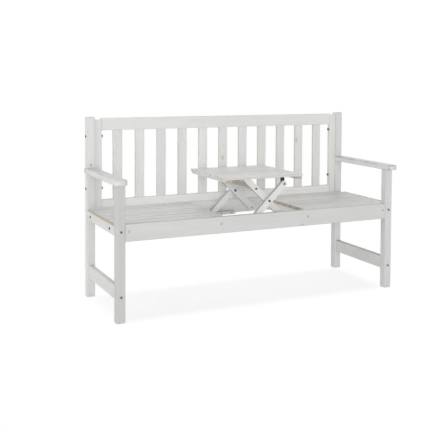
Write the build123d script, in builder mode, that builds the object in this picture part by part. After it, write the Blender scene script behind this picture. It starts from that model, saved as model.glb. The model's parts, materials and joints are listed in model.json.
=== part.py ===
"""A three-seat garden bench whose middle is a small slatted table on two folding scissors.

Millimetres, +Z up, the front faces -Y. The origin is on the floor, below the middle of the bench.
The table is drawn raised, as it stands for use.
"""
import os
from math import cos, radians, sin

from build123d import *

# Overall sizes
overall_length = 1520.0
overall_depth = 560.0
overall_height = 900.0
seat_height = 446.0

# Timber sections
leg_size = 40.0
slat_thickness = 12.0
board_thickness = 20.0
bearer_width = 34.0
bearer_height = 44.0
arris = 1.5
post_top_chamfer = 5.0

# Side frames
arm_overhang = 15.0
arm_front_overhang = 30.0
arm_width = 60.0
arm_thickness = 25.0
arm_top = 648.0
arm_corner = 22.0
arm_edge = 6.0
stretcher_bottom = 96.0
stretcher_height = 64.0
stretcher_thickness = 22.0

# Seat
front_apron_height = 79.0
rear_apron_height = 72.0
rear_apron_gap = 6.0
seat_slat_width = 55.0
seat_slat_gap = 7.5
table_well_length = 434.0
bearer_setback = 2.0
notch_clearance = 1.0

# Backrest
stile_width = 37.0
stile_top_drop = 13.0
back_thickness = 24.0
back_bottom_drop = 6.0
bottom_rail_height = 44.0
top_rail_drop = 7.0
top_rail_height = 61.0
back_slat_count = 11
back_slat_width = 47.0
back_slat_thickness = 15.0
back_slat_end_gap = 60.5
tenon_length = 12.0
tenon_clearance = 0.15

# Table and its scissors
table_end_gap = 5.0
batten_width = 33.0
batten_thickness = 12.0
batten_inset = 3.0
raised_angle = 44.2
lift_arm_reach = 140.0
cross_arm_reach = 114.0
base_pivot_x = 133.0
base_pivot_drop = 44.0
scissor_width = 30.0
scissor_thickness = 18.0
scissor_gap = 5.0
scissor_apron_gap = 5.5
foot_gap = 0.8
foot_corner = 10.0
foot_overrun = 23.0
pivot_foot_gap = 1.0
head_gap = 1.3
spreader_reach = 87.0
spreader_thickness = 20.0
ledger_end_gap = 17.0
ledger_length = 245.0
ledger_height = 16.0
ledger_depth = 25.0
bush_radius = 8.0
bracket_width = 21.0
bracket_thickness = 3.0
bracket_flange = 20.0

# Fasteners
bolt_radius = 4.0
bolt_head_radius = 6.0
bolt_head_height = 3.5
bolt_head_chamfer = 1.2
frame_bolt_length = 70.0
bolt_fit = 0.05
pivot_fit = 0.08
face_gap = 0.3
nut_flats = 13.0
nut_height = 6.5
nut_overrun = 2.0
counterbore_radius = 8.5
counterbore_depth = 6.0
washer_radius = 10.0
apron_bolt_depth = 10.0
spreader_bolt_radius = 3.0
spreader_bolt_head_radius = 6.0
spreader_bolt_head_height = 3.0
spreader_bolt_length = 55.0
low_bolt_rise = 22.0
back_bolt_rise = 102.0
back_bolt_drop = 97.0
side_bolt_front_inset = 70.0
side_bolt_rear_inset = 60.0
rear_bolt_drop = 11.0
head_sides = 12
shank_sides = 8

# Places that follow from those sizes
bolt_hole = bolt_radius + bolt_fit
pivot_hole = bolt_radius + pivot_fit
frame_outer = overall_length / 2 - arm_overhang
frame_inner = frame_outer - leg_size
frame_middle = frame_outer - leg_size / 2
front_face = -overall_depth / 2 + arm_front_overhang
leg_rear = front_face + leg_size
rear_face = overall_depth / 2
post_front = rear_face - leg_size
post_middle = rear_face - leg_size / 2
arm_bottom = arm_top - arm_thickness
slat_bottom = seat_height - slat_thickness
bearer_bottom = slat_bottom - bearer_height
bearer_middle = slat_bottom - bearer_height / 2
rear_bolt_z = bearer_middle - rear_bolt_drop
front_apron_rear = front_face + board_thickness
rear_apron_rear = post_front - rear_apron_gap
rear_apron_front = rear_apron_rear - board_thickness
table_middle_y = (front_apron_rear + rear_apron_front) / 2
end_bearer_x = frame_inner - bearer_width / 2
middle_bearer_x = table_well_length / 2 + bearer_setback + bearer_width / 2
slat_pitch = seat_slat_width + seat_slat_gap
seat_slat_count = int((rear_apron_front - front_apron_rear + seat_slat_gap) // slat_pitch)
slat_rows = [
    table_middle_y + (row - (seat_slat_count - 1) / 2) * slat_pitch for row in range(seat_slat_count)
]
stile_inner = frame_inner - stile_width
stile_top = overall_height - stile_top_drop
back_bottom = seat_height - back_bottom_drop
bottom_rail_top = back_bottom + bottom_rail_height
top_rail_top = overall_height - top_rail_drop
top_rail_bottom = top_rail_top - top_rail_height
back_slat_spread = 2 * (stile_inner - back_slat_end_gap) - back_slat_width
back_slat_pitch = back_slat_spread / (back_slat_count - 1)
low_bolt_z = stretcher_bottom + low_bolt_rise
back_bolt_heights = (back_bottom + back_bolt_rise, overall_height - back_bolt_drop)
side_bolt_places = (leg_rear + side_bolt_front_inset, post_front - side_bolt_rear_inset)

# The scissors in side view: x along the bench, z up
rise = sin(radians(raised_angle))
run = cos(radians(raised_angle))
base_pivot_z = seat_height - base_pivot_drop
cross_x = base_pivot_x - lift_arm_reach * run
cross_z = base_pivot_z + lift_arm_reach * rise
top_pivot_x = cross_x + cross_arm_reach * run
top_pivot_z = cross_z + cross_arm_reach * rise
table_lift = (lift_arm_reach + cross_arm_reach) * rise
table_shift = (lift_arm_reach - cross_arm_reach) * (1 - run)
table_bottom = slat_bottom + table_lift
scissor_half = scissor_width / 2
foot_z = base_pivot_z - scissor_half
pivot_foot_z = foot_z + pivot_foot_gap
foot_length = lift_arm_reach + foot_overrun
ledger_top = foot_z - foot_gap
ledger_left = ledger_end_gap - table_well_length / 2
head_z = table_bottom - head_gap
table_half_length = table_well_length / 2 - table_end_gap
table_half_depth = (seat_slat_count * slat_pitch - seat_slat_gap) / 2

# The scissors in plan, for the front one: each face is named by its place along Y
cross_arm_front = front_apron_rear + scissor_apron_gap
cross_arm_rear = cross_arm_front + scissor_thickness
lift_arm_front = cross_arm_rear + scissor_gap
lift_arm_rear = lift_arm_front + scissor_thickness

sides = (("left", -1), ("right", 1))
FRONTWARDS = (0, -1, 0)
REARWARDS = (0, 1, 0)

os.makedirs("parts", exist_ok=True)


def keep(piece, label):
    """Labels a finished piece and writes it to its own file."""
    piece.part.label = label
    export_step(piece.part, f"parts/{label}.step")


def span(first, second):
    """Gives the middle and the length of the stretch between two places."""
    return (first + second) / 2, abs(second - first)


def timber(x_ends, y_ends, z_ends, grain):
    """Adds a sawn length of timber, its four long edges eased along the grain."""
    (x, length), (y, depth), (z, height) = span(*x_ends), span(*y_ends), span(*z_ends)
    plane, wide, tall, reach = {
        "x": (Plane((x - length / 2, y, z), x_dir=(0, 1, 0), z_dir=(1, 0, 0)), depth, height, length),
        "y": (Plane((x, y - depth / 2, z), x_dir=(1, 0, 0), z_dir=(0, 1, 0)), length, height, depth),
        "z": (Plane((x, y, z - height / 2)), length, depth, height),
    }[grain]
    with BuildSketch(plane) as section:
        Rectangle(wide, tall)
        chamfer(section.vertices(), length=arris)
    extrude(section.sketch, amount=reach)


def drill(entry, outward, radius, depth, sides=shank_sides):
    """Cuts the hole of a fixed bolt, which has flats like the bolt's own, from the entry point of a face."""
    with BuildSketch(Plane(origin=entry, z_dir=outward)) as bore:
        RegularPolygon(radius, sides)
    extrude(bore.sketch, amount=-depth, mode=Mode.SUBTRACT)


def ream(entry, outward, radius, depth):
    """Cuts the round hole of a pivot from the entry point of a face."""
    with Locations(Plane(origin=entry, z_dir=outward)):
        Hole(radius, depth)


def table_side(y):
    """Mirrors a place behind the front apron to the matching place before the rear apron."""
    return 2 * table_middle_y - y


# Side frames
for side, way in sides:
    with BuildPart() as capped_post:
        with BuildSketch() as post_section:
            with Locations((way * frame_middle, post_middle)):
                Rectangle(leg_size, leg_size)
        extrude(amount=overall_height)
        chamfer(capped_post.faces().sort_by(Axis.Z)[-1].edges(), length=post_top_chamfer)

    with BuildPart() as rear_post:
        timber((way * frame_inner, way * frame_outer), (post_front, rear_face), (0, overall_height), "z")
        add(capped_post.part, mode=Mode.INTERSECT)
        for height in back_bolt_heights:
            drill((way * frame_outer, post_middle, height), (way, 0, 0), bolt_hole, leg_size)
        for height in (bearer_middle, low_bolt_z):
            post_entry = (way * frame_middle, rear_face, height)
            drill(post_entry, REARWARDS, bolt_hole, leg_size)
            drill(post_entry, REARWARDS, counterbore_radius, counterbore_depth, head_sides)
    keep(rear_post, f"rear_post_{side}")

    with BuildPart() as front_leg:
        timber((way * frame_inner, way * frame_outer), (front_face, leg_rear), (0, arm_bottom), "z")
        for height in (bearer_middle, low_bolt_z):
            drill((way * frame_middle, front_face, height), FRONTWARDS, bolt_hole, leg_size)
    keep(front_leg, f"front_leg_{side}")

    with BuildPart() as armrest:
        with BuildSketch(Plane.XY.offset(arm_bottom)) as arm_plan:
            arm_middle = overall_length / 2 - arm_width / 2
            arm_y, arm_length = span(-overall_depth / 2, post_front)
            with Locations((way * arm_middle, arm_y)):
                Rectangle(arm_width, arm_length)
            fillet(arm_plan.vertices().group_by(Axis.Y)[0], radius=arm_corner)
        extrude(amount=arm_thickness)
        level_edges = armrest.edges().filter_by(Axis.Z, reverse=True)
        eased = level_edges.filter_by(lambda edge: edge.center().Y < post_front - arris)
        fillet(eased.group_by(Axis.Z)[-1], radius=arm_edge)
        chamfer(eased.group_by(Axis.Z)[0], length=arris)
    keep(armrest, f"armrest_{side}")

    with BuildPart() as side_rail:
        rail_ends = (way * frame_inner, way * frame_outer)
        timber(rail_ends, (leg_rear, post_front), (bearer_bottom, slat_bottom), "y")
        rail_bolt = frame_bolt_length - leg_size + bolt_fit
        drill((way * frame_middle, leg_rear, bearer_middle), FRONTWARDS, bolt_hole, rail_bolt)
        drill(
            (way * frame_middle, post_front, bearer_middle),
            REARWARDS,
            bolt_hole,
            rail_bolt + counterbore_depth,
        )
        for place in side_bolt_places:
            drill((way * frame_outer, place, bearer_middle), (way, 0, 0), bolt_hole, leg_size)
    keep(side_rail, f"side_rail_{side}")

    with BuildPart() as side_stretcher:
        stretcher_faces = (frame_middle - stretcher_thickness / 2, frame_middle + stretcher_thickness / 2)
        timber(
            (way * stretcher_faces[0], way * stretcher_faces[1]),
            (leg_rear, post_front),
            (stretcher_bottom, stretcher_bottom + stretcher_height),
            "y",
        )
        drill((way * frame_middle, leg_rear, low_bolt_z), FRONTWARDS, bolt_hole, rail_bolt)
        drill(
            (way * frame_middle, post_front, low_bolt_z),
            REARWARDS,
            bolt_hole,
            rail_bolt + counterbore_depth,
        )
    keep(side_stretcher, f"side_stretcher_{side}")

# Aprons and bearers of the seat
bearer_places = (-end_bearer_x, -middle_bearer_x, middle_bearer_x, end_bearer_x)
apron_bolt = frame_bolt_length - board_thickness + bolt_fit
base_bolt_depth = apron_bolt_depth + bolt_fit

with BuildPart() as front_apron:
    timber(
        (-frame_inner, frame_inner),
        (front_face, front_apron_rear),
        (seat_height - front_apron_height, seat_height),
        "x",
    )
    for place in bearer_places:
        drill((place, front_face, bearer_middle), FRONTWARDS, bolt_hole, board_thickness)
    ream((base_pivot_x, front_apron_rear, base_pivot_z), REARWARDS, bolt_hole, base_bolt_depth)
keep(front_apron, "front_apron")

with BuildPart() as rear_apron:
    timber(
        (-frame_inner, frame_inner),
        (rear_apron_front, rear_apron_rear),
        (seat_height - rear_apron_height, seat_height),
        "x",
    )
    for place in bearer_places:
        drill((place, rear_apron_rear, rear_bolt_z), REARWARDS, bolt_hole, board_thickness)
    ream((base_pivot_x, rear_apron_front, base_pivot_z), FRONTWARDS, bolt_hole, base_bolt_depth)
keep(rear_apron, "rear_apron")

for side, way in sides:
    for kind, place in (("end", end_bearer_x), ("middle", middle_bearer_x)):
        with BuildPart() as bearer:
            timber(
                (way * place - bearer_width / 2, way * place + bearer_width / 2),
                (front_apron_rear, rear_apron_front),
                (bearer_bottom, slat_bottom),
                "y",
            )
            drill((way * place, front_apron_rear, bearer_middle), FRONTWARDS, bolt_hole, apron_bolt)
            drill((way * place, rear_apron_front, rear_bolt_z), REARWARDS, bolt_hole, apron_bolt)
            if kind == "end":
                for bolt_place in side_bolt_places:
                    drill((way * frame_inner, bolt_place, bearer_middle), (way, 0, 0), bolt_hole, rail_bolt)
        keep(bearer, f"{kind}_bearer_{side}")

# Seat slats on each side of the table, the first one cut out around the front leg
for side, way in sides:
    with BuildPart() as seat_slats:
        for row in slat_rows:
            timber(
                (way * table_well_length / 2, way * frame_outer),
                (row - seat_slat_width / 2, row + seat_slat_width / 2),
                (slat_bottom, seat_height),
                "x",
            )
        notch_x, notch_length = span(frame_inner - notch_clearance, overall_length / 2)
        notch_y, notch_depth = span(front_face, leg_rear + notch_clearance)
        with Locations((way * notch_x, notch_y, seat_height)):
            Box(notch_length, notch_depth, 4 * slat_thickness, mode=Mode.SUBTRACT)
    keep(seat_slats, f"seat_slats_{side}")

# Backrest
back_front = post_middle - back_thickness / 2
back_rear = post_middle + back_thickness / 2
for side, way in sides:
    with BuildPart() as back_stile:
        stile_ends = (way * stile_inner, way * frame_inner)
        timber(stile_ends, (back_front, back_rear), (back_bottom, stile_top), "z")
        for height in back_bolt_heights:
            drill((way * frame_inner, post_middle, height), (way, 0, 0), bolt_hole, stile_width)
    keep(back_stile, f"back_stile_{side}")

with BuildPart() as back_bottom_rail:
    timber((-stile_inner, stile_inner), (back_front, back_rear), (back_bottom, bottom_rail_top), "x")
    with BuildSketch(Plane.XY.offset(bottom_rail_top)) as bottom_mortises:
        with Locations((0, post_middle)):
            with GridLocations(back_slat_pitch, 0, back_slat_count, 1):
                Rectangle(back_slat_width + 2 * tenon_clearance, back_slat_thickness + 2 * tenon_clearance)
    extrude(amount=-(tenon_length + tenon_clearance), mode=Mode.SUBTRACT)
keep(back_bottom_rail, "back_bottom_rail")

with BuildPart() as back_top_rail:
    timber((-stile_inner, stile_inner), (back_front, back_rear), (top_rail_bottom, top_rail_top), "x")
    with BuildSketch(Plane.XY.offset(top_rail_bottom)) as top_mortises:
        with Locations((0, post_middle)):
            with GridLocations(back_slat_pitch, 0, back_slat_count, 1):
                Rectangle(back_slat_width + 2 * tenon_clearance, back_slat_thickness + 2 * tenon_clearance)
    extrude(amount=tenon_length + tenon_clearance, mode=Mode.SUBTRACT)
keep(back_top_rail, "back_top_rail")

for number in range(back_slat_count):
    slat_x = (number - (back_slat_count - 1) / 2) * back_slat_pitch
    with BuildPart() as back_slat:
        timber(
            (slat_x - back_slat_width / 2, slat_x + back_slat_width / 2),
            (post_middle - back_slat_thickness / 2, post_middle + back_slat_thickness / 2),
            (bottom_rail_top - tenon_length, top_rail_bottom + tenon_length),
            "z",
        )
    keep(back_slat, f"back_slat_{number + 1:02d}")

# Table top
for number, row in enumerate(slat_rows):
    with BuildPart() as table_slat:
        timber(
            (table_shift - table_half_length, table_shift + table_half_length),
            (row - seat_slat_width / 2, row + seat_slat_width / 2),
            (table_bottom, table_bottom + slat_thickness),
            "x",
        )
    keep(table_slat, f"table_slat_{number + 1}")

for side, way in sides:
    batten_outer = table_half_length - batten_inset
    batten_reach = table_half_depth - batten_inset
    with BuildPart() as table_batten:
        timber(
            (table_shift + way * (batten_outer - batten_width), table_shift + way * batten_outer),
            (table_middle_y - batten_reach, table_middle_y + batten_reach),
            (table_bottom - batten_thickness, table_bottom),
            "y",
        )
    keep(table_batten, f"table_batten_{side}")

# Scissors: each arm is drawn from the crossing bolt, its own length along x and its width along y
foot_drop = cross_z - foot_z
head_rise = head_z - cross_z
pivot_foot_drop = cross_z - pivot_foot_z
across = scissor_half * run

cross_arm_faces = (("front", cross_arm_rear), ("rear", table_side(cross_arm_front)))
for end, arm_rear_face in cross_arm_faces:
    cross_plane = Plane(origin=(cross_x, arm_rear_face, cross_z), x_dir=(run, 0, rise), z_dir=FRONTWARDS)
    with BuildPart() as cross_arm:
        with BuildSketch(cross_plane) as cross_outline:
            foot_short = (foot_drop - across) / rise
            foot_slope = (foot_length * rise - foot_drop) / run
            with BuildLine():
                Polyline(
                    (cross_arm_reach, -scissor_half),
                    (-foot_short, -scissor_half),
                    (-foot_length, foot_slope),
                    (-foot_length, scissor_half),
                    (cross_arm_reach, scissor_half),
                )
                ThreePointArc(
                    (cross_arm_reach, scissor_half),
                    (cross_arm_reach + scissor_half, 0),
                    (cross_arm_reach, -scissor_half),
                )
            make_face()
            with Locations((0, 0), (cross_arm_reach, 0)):
                Circle(pivot_hole, mode=Mode.SUBTRACT)
            heel = cross_outline.vertices().sort_by_distance((-foot_short, -scissor_half))[0]
            fillet(heel, radius=foot_corner)
        extrude(amount=scissor_thickness)
    keep(cross_arm, f"{end}_cross_arm")

lift_arm_faces = (("front", lift_arm_rear), ("rear", table_side(lift_arm_front)))
for end, arm_rear_face in lift_arm_faces:
    lift_plane = Plane(origin=(cross_x, arm_rear_face, cross_z), x_dir=(-run, 0, rise), z_dir=FRONTWARDS)
    with BuildPart() as lift_arm:
        with BuildSketch(lift_plane) as lift_outline:
            with BuildLine():
                Polyline(
                    ((head_rise - across) / rise, -scissor_half),
                    ((head_rise + across) / rise, scissor_half),
                    ((across - pivot_foot_drop) / rise, scissor_half),
                    ((-across - pivot_foot_drop) / rise, -scissor_half),
                    close=True,
                )
            make_face()
            Circle(bolt_hole, mode=Mode.SUBTRACT)
            with Locations((-lift_arm_reach, 0)):
                Circle(pivot_hole, mode=Mode.SUBTRACT)
            with Locations((spreader_reach, 0)):
                Circle(spreader_bolt_radius + bolt_fit, mode=Mode.SUBTRACT)
        extrude(amount=scissor_thickness)
    keep(lift_arm, f"{end}_lift_arm")

spreader_x = cross_x - spreader_reach * run
spreader_z = cross_z + spreader_reach * rise
spreader_rear = table_side(lift_arm_rear)
spreader_hole = spreader_bolt_radius + bolt_fit
spreader_depth = spreader_bolt_length - scissor_thickness + bolt_fit
with BuildPart() as arm_spreader:
    spreader_plane = Plane(
        origin=(spreader_x, spreader_rear, spreader_z), x_dir=(-run, 0, rise), z_dir=FRONTWARDS
    )
    with BuildSketch(spreader_plane) as spreader_section:
        Rectangle(spreader_thickness, scissor_width)
    extrude(amount=spreader_rear - lift_arm_rear)
    chamfer(arm_spreader.edges().filter_by(Axis.Y), length=arris)
    ream((spreader_x, lift_arm_rear, spreader_z), FRONTWARDS, spreader_hole, spreader_depth)
    ream((spreader_x, spreader_rear, spreader_z), REARWARDS, spreader_hole, spreader_depth)
keep(arm_spreader, "arm_spreader")

# Ledgers under the feet of the cross arms
ledger_faces = (("front", front_apron_rear, 1), ("rear", rear_apron_front, -1))
for end, apron_face, inward in ledger_faces:
    with BuildPart() as slide_ledger:
        timber(
            (ledger_left, ledger_left + ledger_length),
            (apron_face, apron_face + inward * ledger_depth),
            (ledger_top - ledger_height, ledger_top),
            "x",
        )
    keep(slide_ledger, f"slide_ledger_{end}")

# Bushes that hold the base pivots clear of the aprons
bush_length = lift_arm_front - front_apron_rear - face_gap
with BuildPart() as pivot_bushes:
    for apron_face, outward in ((front_apron_rear, REARWARDS), (rear_apron_front, FRONTWARDS)):
        bush_seat = Plane(origin=(base_pivot_x, apron_face, base_pivot_z), z_dir=outward)
        with BuildSketch(bush_seat) as bush_ring:
            Circle(bush_radius)
            Circle(bolt_hole, mode=Mode.SUBTRACT)
        extrude(amount=bush_length)
keep(pivot_bushes, "pivot_bushes")

# Steel brackets under the table: a leg beside each cross arm and a flange under the slats
bracket_outer = cross_arm_rear + face_gap
bracket_inner = bracket_outer + bracket_thickness
with BuildPart() as table_brackets:
    for leg_outer, leg_inner, flange_end in (
        (bracket_outer, bracket_inner, bracket_outer + bracket_flange),
        (table_side(bracket_outer), table_side(bracket_inner), table_side(bracket_outer + bracket_flange)),
    ):
        leg_y, leg_thickness = span(leg_outer, leg_inner)
        flange_y, flange_depth = span(leg_outer, flange_end)
        leg_bottom = top_pivot_z - bracket_width / 2
        with BuildSketch(Plane.XY.offset(leg_bottom)) as leg_section:
            with Locations((top_pivot_x, leg_y)):
                Rectangle(bracket_width, leg_thickness)
        extrude(amount=table_bottom - leg_bottom)
        with BuildSketch(Plane.XY.offset(table_bottom - bracket_thickness)) as flange_section:
            with Locations((top_pivot_x, flange_y)):
                Rectangle(bracket_width, flange_depth)
        extrude(amount=bracket_thickness)
        inwards = (0, leg_inner - leg_outer, 0)
        ream((top_pivot_x, leg_inner, top_pivot_z), inwards, bolt_hole, leg_thickness)
keep(table_brackets, "table_brackets")


def button_bolt(head_radius, head_height, shank_radius, length):
    """Makes a round button-head bolt: the head stands on the origin and the shank runs down from it."""
    with BuildPart() as piece:
        Cone(
            head_radius,
            head_radius - bolt_head_chamfer,
            head_height,
            align=(Align.CENTER, Align.CENTER, Align.MIN),
        )
        Cylinder(shank_radius, length, align=(Align.CENTER, Align.CENTER, Align.MAX))
    return piece.part


def fixed_bolt(length):
    """Makes a bolt of the frame, of which there are many, as the button-head bolt but with few flats."""
    with BuildPart() as piece:
        with BuildSketch() as head_outline:
            RegularPolygon(bolt_head_radius, head_sides)
        extrude(amount=bolt_head_height)
        chamfer(piece.edges().group_by(Axis.Z)[-1], length=bolt_head_chamfer)
        with BuildSketch() as shank_outline:
            RegularPolygon(bolt_radius, shank_sides)
        extrude(amount=-length)
    return piece.part


def hex_nut():
    """Makes a hexagon nut that stands on the origin."""
    with BuildPart() as piece:
        with BuildSketch() as flats:
            RegularPolygon(nut_flats / 2, 6, major_radius=False)
            RegularPolygon(bolt_hole, shank_sides, major_radius=False, mode=Mode.SUBTRACT)
        extrude(amount=nut_height)
    return piece.part


# Bolts of the bench frame
frame_bolt = fixed_bolt(frame_bolt_length)
frame_seats = []
for side, way in sides:
    for height in (bearer_middle, low_bolt_z):
        frame_seats.append(Plane(origin=(way * frame_middle, front_face, height), z_dir=FRONTWARDS))
        bolt_seat = rear_face - counterbore_depth
        frame_seats.append(Plane(origin=(way * frame_middle, bolt_seat, height), z_dir=REARWARDS))
    for place in side_bolt_places:
        frame_seats.append(Plane(origin=(way * frame_outer, place, bearer_middle), z_dir=(way, 0, 0)))
for place in bearer_places:
    frame_seats.append(Plane(origin=(place, front_face, bearer_middle), z_dir=FRONTWARDS))
    frame_seats.append(Plane(origin=(place, rear_apron_rear, rear_bolt_z), z_dir=REARWARDS))
with BuildPart() as frame_bolts:
    with Locations(*frame_seats):
        add(frame_bolt)
keep(frame_bolts, "frame_bolts")

# Bolts and nuts of the backrest
nut_end = nut_height + nut_overrun
back_bolt = fixed_bolt(leg_size + stile_width + nut_end)
back_seats = []
nut_seats = []
for side, way in sides:
    for height in back_bolt_heights:
        back_seats.append(Plane(origin=(way * frame_outer, post_middle, height), z_dir=(way, 0, 0)))
        nut_seats.append(Plane(origin=(way * stile_inner, post_middle, height), z_dir=(-way, 0, 0)))
with BuildPart() as back_bolts:
    with Locations(*back_seats):
        add(back_bolt)
keep(back_bolts, "back_bolts")

nut = hex_nut()
with BuildPart() as back_nuts:
    with Locations(*nut_seats):
        add(nut)
keep(back_nuts, "back_nuts")


def both_ends(x, y, z, outward):
    """Gives the matching places at the front and the rear scissor, the rear one turned round."""
    front = Plane(origin=(x, y, z), z_dir=outward)
    rear = Plane(origin=(x, table_side(y), z), z_dir=(outward[0], -outward[1], outward[2]))
    return front, rear


# Crossing bolts, with a washer between the arms and a nut on the inner face of the lift arm
head_seat = cross_arm_front - face_gap
crossing_bolt = button_bolt(
    bolt_head_radius, bolt_head_height, bolt_radius, lift_arm_rear - head_seat + nut_end
)
with BuildPart() as crossing_bolts:
    with Locations(*both_ends(cross_x, head_seat, cross_z, FRONTWARDS)):
        add(crossing_bolt)
keep(crossing_bolts, "crossing_bolts")

with BuildPart() as crossing_nuts:
    with Locations(*both_ends(cross_x, lift_arm_rear, cross_z, REARWARDS)):
        add(nut)
keep(crossing_nuts, "crossing_nuts")

with BuildPart() as crossing_washers:
    for seat in both_ends(cross_x, lift_arm_front, cross_z, FRONTWARDS):
        with BuildSketch(seat) as washer_ring:
            Circle(washer_radius)
            Circle(bolt_hole, mode=Mode.SUBTRACT)
        extrude(amount=scissor_gap - face_gap)
keep(crossing_washers, "crossing_washers")

# Pivot bolts of the table, the base and the spreader
top_pivot_bolt = button_bolt(bolt_head_radius, bolt_head_height, bolt_radius, bracket_inner - head_seat)
with BuildPart() as top_pivot_bolts:
    with Locations(*both_ends(top_pivot_x, head_seat, top_pivot_z, FRONTWARDS)):
        add(top_pivot_bolt)
keep(top_pivot_bolts, "top_pivot_bolts")

base_seat = lift_arm_rear + face_gap
base_reach = base_seat - front_apron_rear + apron_bolt_depth
base_pivot_bolt = button_bolt(bolt_head_radius, bolt_head_height, bolt_radius, base_reach)
with BuildPart() as base_pivot_bolts:
    with Locations(*both_ends(base_pivot_x, base_seat, base_pivot_z, REARWARDS)):
        add(base_pivot_bolt)
keep(base_pivot_bolts, "base_pivot_bolts")

spreader_bolt = button_bolt(
    spreader_bolt_head_radius, spreader_bolt_head_height, spreader_bolt_radius, spreader_bolt_length
)
with BuildPart() as spreader_bolts:
    with Locations(*both_ends(spreader_x, lift_arm_front, spreader_z, FRONTWARDS)):
        add(spreader_bolt)
keep(spreader_bolts, "spreader_bolts")
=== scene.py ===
"""Finishes a garden bench whose middle rises as a small table, laid out as an add-on.

The boards get a thin white glaze over softwood, with the grain along each board and bare wood on the
ends that are sawn after glazing. Bolts, nuts and wood screws are surfaces worked out on grids. A white
studio holds the camera at the photograph's angle. Metres, in the frame of the CAD model.
"""
import functools
import json
import math
from typing import NamedTuple

import bpy
import numpy as np
from bpy.props import FloatProperty, FloatVectorProperty, PointerProperty
from mathutils import Matrix, Vector


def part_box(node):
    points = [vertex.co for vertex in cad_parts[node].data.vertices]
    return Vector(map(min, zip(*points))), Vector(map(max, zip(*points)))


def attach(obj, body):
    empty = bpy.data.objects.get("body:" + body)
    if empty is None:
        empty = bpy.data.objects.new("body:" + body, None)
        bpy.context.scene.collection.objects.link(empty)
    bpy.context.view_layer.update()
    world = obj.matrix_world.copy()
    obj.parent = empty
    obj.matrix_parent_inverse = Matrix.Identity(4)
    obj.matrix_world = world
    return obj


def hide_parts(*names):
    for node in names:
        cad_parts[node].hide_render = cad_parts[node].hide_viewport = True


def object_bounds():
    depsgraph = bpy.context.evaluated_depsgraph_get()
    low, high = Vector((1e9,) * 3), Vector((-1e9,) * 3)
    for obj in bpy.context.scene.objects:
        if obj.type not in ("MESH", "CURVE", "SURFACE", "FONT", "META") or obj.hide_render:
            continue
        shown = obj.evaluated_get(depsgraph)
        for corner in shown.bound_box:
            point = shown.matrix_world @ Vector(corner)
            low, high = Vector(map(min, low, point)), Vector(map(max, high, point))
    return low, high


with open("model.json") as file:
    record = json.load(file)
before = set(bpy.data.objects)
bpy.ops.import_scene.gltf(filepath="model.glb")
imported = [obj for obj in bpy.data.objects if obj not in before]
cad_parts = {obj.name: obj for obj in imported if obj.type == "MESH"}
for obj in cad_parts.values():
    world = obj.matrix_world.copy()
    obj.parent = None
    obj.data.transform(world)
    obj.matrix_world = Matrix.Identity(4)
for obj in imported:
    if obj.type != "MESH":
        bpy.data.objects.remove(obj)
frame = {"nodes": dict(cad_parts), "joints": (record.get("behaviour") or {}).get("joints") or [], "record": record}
cad_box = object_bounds()

bl_info = {
    "name": "Garden bench finish",
    "version": (1, 0, 0),
    "blender": (4, 5, 0),
    "location": "View3D > Sidebar > Bench",
    "description": "Glazes the boards of a garden bench, adds its hardware and sets up a white studio",
    "category": "Object",
}


def nodes_called(start):
    """The CAD nodes whose names begin with these letters, in order."""
    return tuple(sorted(name for name in frame["nodes"] if name.startswith(start)))


SIDES = ("left", "right")
AXES = "xyz"
BACK_SLATS = nodes_called("back_slat_")
TABLE_SLATS = nodes_called("table_slat_")
BODY_OF = {node: body for body, nodes in frame["record"]["behaviour"]["bodies"].items() for node in nodes}
TABLE_LIFT = next(joint for joint in frame["joints"] if joint["name"] == "table_lift")
RAISED_ANGLE = math.radians(-TABLE_LIFT["range_deg"][0])

# Turns that lay a board's grain along the first coordinate
ALONG_X = (0.0, 0.0, 0.0)
ALONG_Y = (0.0, 0.0, -math.pi / 2)
ALONG_Z = (0.0, math.pi / 2, 0.0)
ALONG_LIFT_ARM = (0.0, math.pi - RAISED_ANGLE, 0.0)
ALONG_CROSS_ARM = (0.0, RAISED_ANGLE, 0.0)

# Cells of a pattern in a metre: along the grain, and across it in both directions
FIBRE_CELLS = (7.0, 520.0, 520.0)
CLOUD_CELLS = (2.6, 21.0, 21.0)
BEND_CELLS = (1.7, 8.0, 8.0)
KNOT_CELLS = (6.2, 9.0, 9.0)
WEAR_CELLS = (14.0, 60.0, 60.0)
PORE_CELLS = (400.0, 900.0, 900.0)
STAIN_CELLS = (9.0, 26.0, 60.0)
GLAZE_RUN_CELLS = (11.0, 34.0, 120.0)
METAL_CELLS = (700.0, 700.0, 700.0)

NOISE_ROUGHNESS = 0.55
MIDDLE_OF_NOISE = 0.5
# How far slow noise bends the growth lines, in metres
RING_BEND = 0.11
# How much closer the rings on a sawn end are than the growth lines
SAWN_RINGS = 2
# What the wave pattern itself multiplies its coordinates by
WAVE_FACTOR = 20
# Strengths of a growth line's colour and depth, of a knot's colour and of a fibre's height
LINE_STRENGTH = 0.6
LINE_DEPTH = 0.4
KNOT_STRENGTH = 0.5
FIBRE_HEIGHT = 0.7
# The part of a normal along an axis at which a face starts to look along it, and at which it fully does
TURNING, FACING = 0.86, 0.94
WOOD_BUMP_STRENGTH = 0.6
WOOD_SPECULAR = 0.15
METAL_BUMP_DEPTH = 0.0001
METAL_BUMP_STRENGTH = 0.3

# Numbers of the hardware's materials, which shapes give to their faces
STEEL, SHADED, BRIGHT, GREY, BLUED = range(5)

# Grids of the turned pieces
BOLT_SIDES = 36
NUT_SIDES = 48
SCREW_SIDES = 40
CROWN_ROWS = 7
SMOOTH_ANGLE = math.radians(35)
# Decimals of a metre that tell two corners of the CAD model apart
CORNER_DECIMALS = 5
# The share of a bolt's largest radius beyond which a corner belongs to its head
HEAD_CORNERS = 0.95
# How near to a bolt's tip a corner belongs to it, in metres
TIP_REACH = 1e-4

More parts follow.
